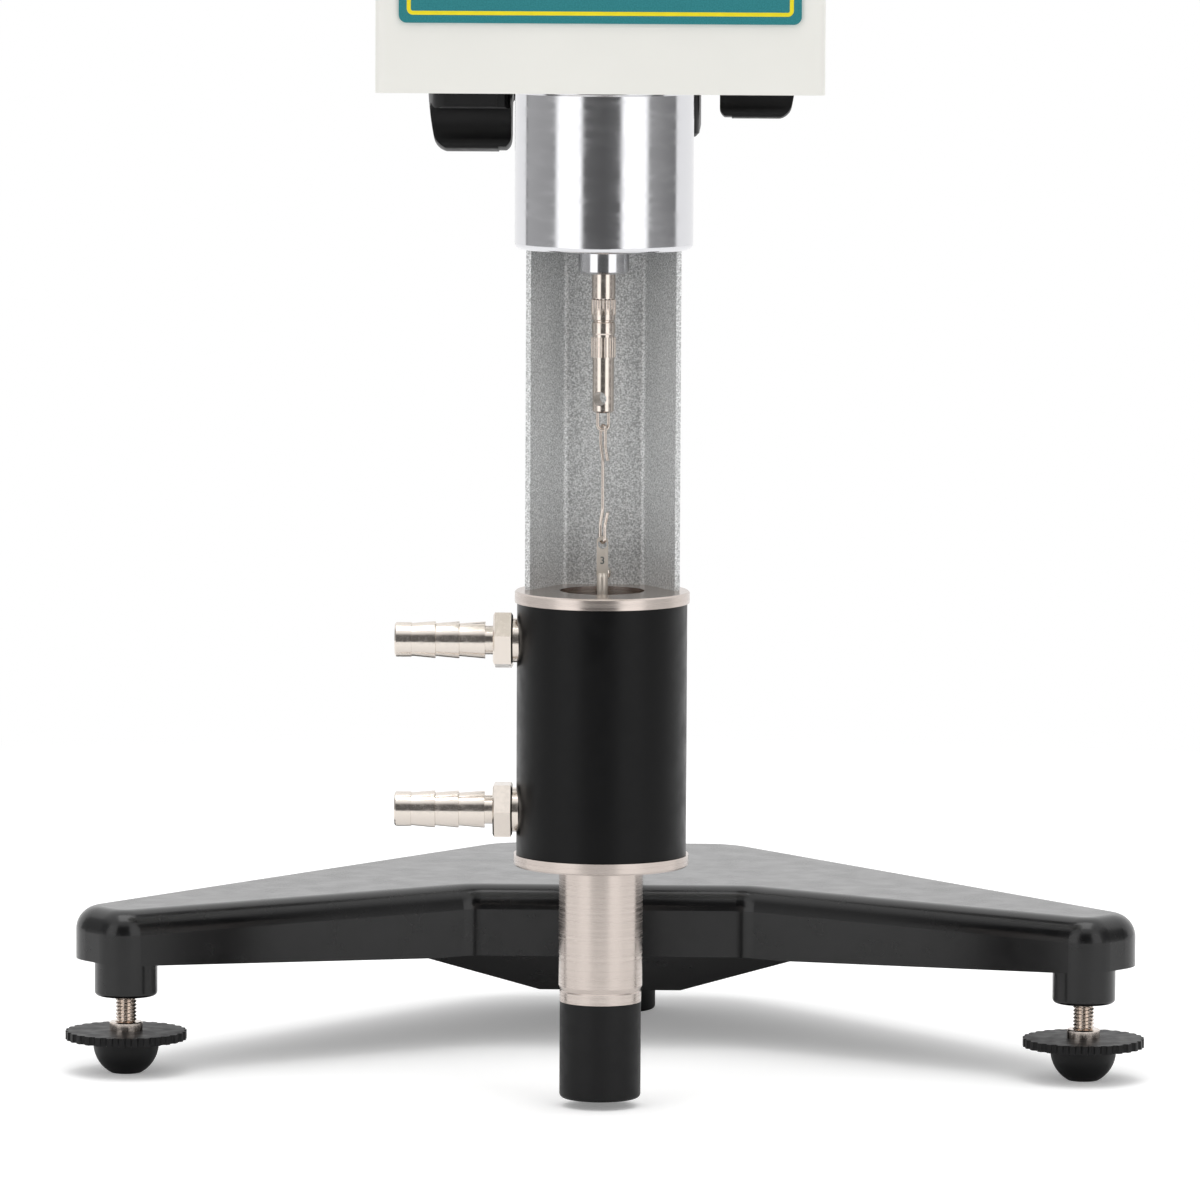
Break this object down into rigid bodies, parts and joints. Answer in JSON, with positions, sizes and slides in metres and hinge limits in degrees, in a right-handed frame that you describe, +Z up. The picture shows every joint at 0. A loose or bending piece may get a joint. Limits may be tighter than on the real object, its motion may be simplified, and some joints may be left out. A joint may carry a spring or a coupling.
{
  "type": "rotational viscometer",
  "caption": "Digital rotational viscometer head on a rack column and levelling stand, with a jacketed small-sample adapter, hooked spindle and hose barbs.",
  "frame": {"origin": "centre of the fixed rear foot, on the floor it stands on", "axes": "+Z up along the column, -Y towards the reader of the display, +X to the reader's right"},
  "size_m": [0.298, 0.2645, 0.4526],
  "materials": {
    "cast_base": "textured black paint",
    "rubber": "matte",
    "column_steel": "polished",
    "steel": "turned",
    "nickel": "nickel plated",
    "black_plastic": "fine texture",
    "black_metal": "satin black",
    "bronze": "sintered",
    "cream_paint": "satin cream",
    "aluminium": "polished",
    "hammered": "hammered silver",
    "panel": "satin film",
    "window": "clear",
    "key": "satin film",
    "board": "solder mask",
    "anodised": "black anodised",
    "vial": "clear",
    "socket_black": "moulded"
  },
  "bodies": {
    "stand": {"base_casting": "cast_base", "rear_foot": "rubber", "column_rod": "column_steel", "column_nut": "steel", "column_cap": "black_plastic"},
    "left_foot": {"left_foot_pad": "black_plastic"},
    "left_screw": {"left_levelling_screw": "nickel", "left_levelling_wheel": "black_plastic"},
    "right_foot": {"right_foot_pad": "black_plastic"},
    "right_screw": {"right_levelling_screw": "nickel", "right_levelling_wheel": "black_plastic"},
    "head": {"clamp_block": "black_metal", "guide_bush": "bronze", "mounting_bar": "steel", "front_housing": "cream_paint", "rear_cover": "cream_paint", "bottom_plate": "cream_paint", "cover_screws": "nickel", "front_panel": "panel", "display_window": "window", "display_board": "board", "power_switch": "socket_black", "power_inlet": "socket_black", "data_socket": "steel", "level_ring": "aluminium", "level_vial": "vial", "chassis_plate": "aluminium", "chassis_pillars": "steel", "drive_motor": "steel", "spindle_bearing": "steel", "optical_sensor": "socket_black", "main_board": "board", "mounting_flange": "aluminium", "guard_cylinder": "aluminium", "pivot_cup": "aluminium", "adapter_channel": "hammered", "channel_screw": "nickel", "jacket_body": "anodised", "jacket_end_rings": "steel", "inner_sleeve": "steel", "hose_barbs": "nickel", "sample_tube": "steel", "tube_cap": "black_plastic"},
    "lift_pinion": {"pinion_shaft": "steel", "lift_knob": "black_plastic"},
    "lock": {"lock_screw": "steel", "lock_knob": "black_plastic"},
    "rocker": {"power_rocker": "socket_black"},
    "spindle": {"drive_shaft": "steel", "torsion_spring": "bronze", "encoder_disc": "black_metal", "pivot_shaft": "steel", "spindle_coupling": "nickel"},
    "link": {"hook_link": "nickel"},
    "bob": {"measuring_spindle": "steel"},
    "key_up": {"key_up": "key"},
    "key_down": {"key_down": "key"},
    "key_confirm": {"key_confirm": "key"},
    "key_run": {"key_run": "key"},
    "key_stop": {"key_stop": "key"}
  },
  "joints": [
    {"name": "head_lift", "type": "slide", "parent": "stand", "child": "head", "axis": [0, 0, 1], "range_m": [-0.002, 0.108]},
    {"name": "pinion_turn", "type": "hinge", "parent": "head", "child": "lift_pinion", "pos_m": [0, -0.0255, 0.271], "axis": [1, 0, 0], "range_deg": [-20, 890]},
    {"name": "lock_turn", "type": "hinge", "parent": "head", "child": "lock", "pos_m": [0, -0.04, 0.28], "axis": [1, 0, 0], "range_deg": [0, 90]},
    {"name": "switch_rock", "type": "hinge", "parent": "head", "child": "rocker", "pos_m": [0.0265, -0.107, 0.323], "axis": [1, 0, 0], "range_deg": [0, 16]},
    {"name": "spindle_spin", "type": "hinge", "parent": "head", "child": "spindle", "pos_m": [0, -0.18, 0.2], "axis": [0, 0, 1], "continuous": true},
    {"name": "link_swing", "type": "hinge", "parent": "spindle", "child": "link", "pos_m": [0, -0.18, 0.1842], "axis": [1, 0, 0], "range_deg": [-1, 1]},
    {"name": "bob_swing", "type": "hinge", "parent": "link", "child": "bob", "pos_m": [0, -0.18, 0.15405], "axis": [0, 1, 0], "range_deg": [-1, 1]},
    {"name": "left_foot_lift", "type": "slide", "parent": "stand", "child": "left_foot", "axis": [0, 0, 1], "range_m": [-0.008, 0.006]},
    {"name": "left_screw_turn", "type": "hinge", "parent": "left_foot", "child": "left_screw", "pos_m": [-0.1323, -0.128, 0.01], "axis": [0, 0, 1], "range_deg": [-2890, 2170]},
    {"name": "right_foot_lift", "type": "slide", "parent": "stand", "child": "right_foot", "axis": [0, 0, 1], "range_m": [-0.008, 0.006]},
    {"name": "right_screw_turn", "type": "hinge", "parent": "right_foot", "child": "right_screw", "pos_m": [0.1323, -0.128, 0.01], "axis": [0, 0, 1], "range_deg": [-2890, 2170]},
    {"name": "key_up_press", "type": "slide", "parent": "head", "child": "key_up", "axis": [0, 1, 0], "range_m": [0, 0.0004], "stiffness_N_per_m": 400},
    {"name": "key_down_press", "type": "slide", "parent": "head", "child": "key_down", "axis": [0, 1, 0], "range_m": [0, 0.0004], "stiffness_N_per_m": 400},
    {"name": "key_confirm_press", "type": "slide", "parent": "head", "child": "key_confirm", "axis": [0, 1, 0], "range_m": [0, 0.0004], "stiffness_N_per_m": 400},
    {"name": "key_run_press", "type": "slide", "parent": "head", "child": "key_run", "axis": [0, 1, 0], "range_m": [0, 0.0004], "stiffness_N_per_m": 400},
    {"name": "key_stop_press", "type": "slide", "parent": "head", "child": "key_stop", "axis": [0, 1, 0], "range_m": [0, 0.0004], "stiffness_N_per_m": 400}
  ],
  "couplings": [
    {"joint": "pinion_turn", "follows": "head_lift", "rad_per_m": 142.86},
    {"joint": "left_screw_turn", "follows": "left_foot_lift", "rad_per_m": 6283.2},
    {"joint": "right_screw_turn", "follows": "right_foot_lift", "rad_per_m": 6283.2}
  ]
}
